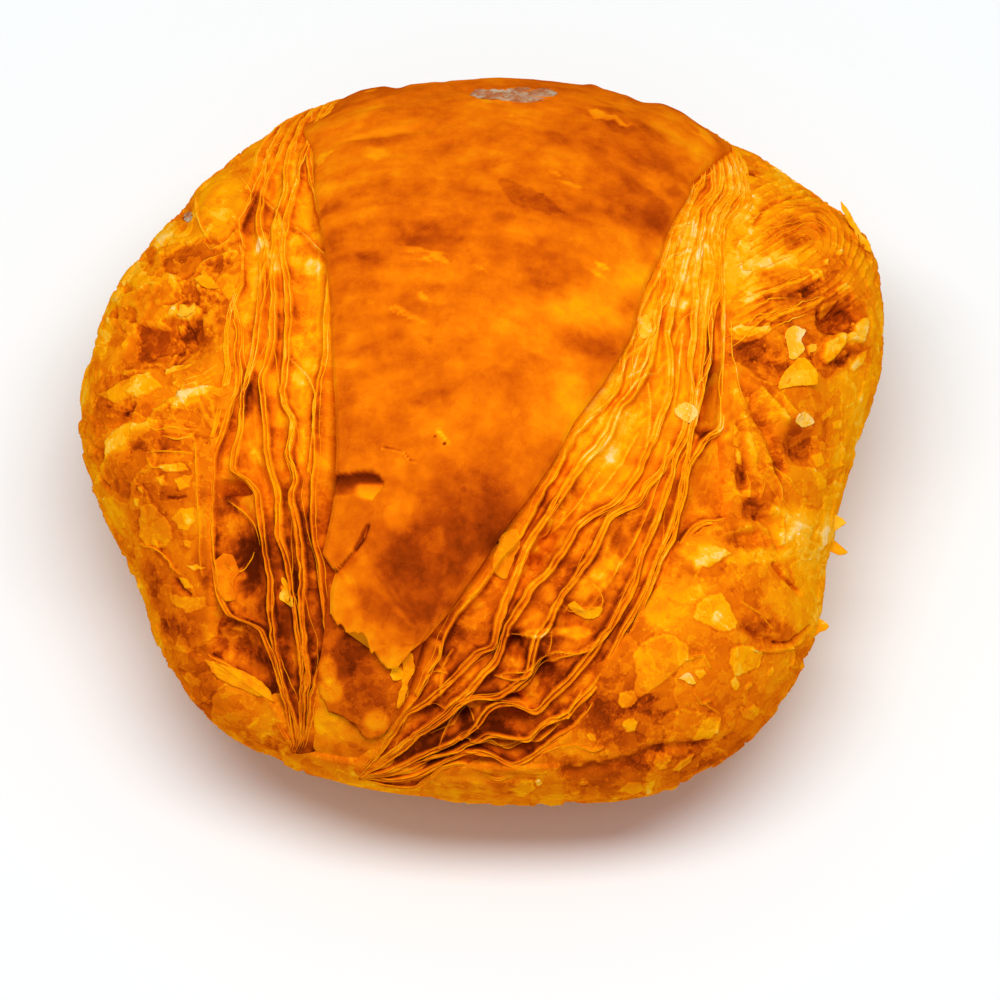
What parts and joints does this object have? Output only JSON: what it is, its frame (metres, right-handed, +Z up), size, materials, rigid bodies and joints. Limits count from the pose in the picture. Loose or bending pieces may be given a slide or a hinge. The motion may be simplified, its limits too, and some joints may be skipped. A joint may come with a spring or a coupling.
{
  "type": "ham and cheese croissant",
  "caption": "Baked ham and cheese croissant, compact and shut, with a glazed top crust and two fans of open flaky layers.",
  "frame": {"origin": "middle of the bounding box, on the flat face that the croissant was baked on", "axes": "+X to the right end of the roll, where its coiled layers show; +Y to the back; +Z up"},
  "size_m": [0.1294, 0.1275, 0.0673],
  "materials": {
    "baked_crust": "satin"
  },
  "bodies": {
    "root": {"croissant": "baked_crust"}
  },
  "joints": []
}
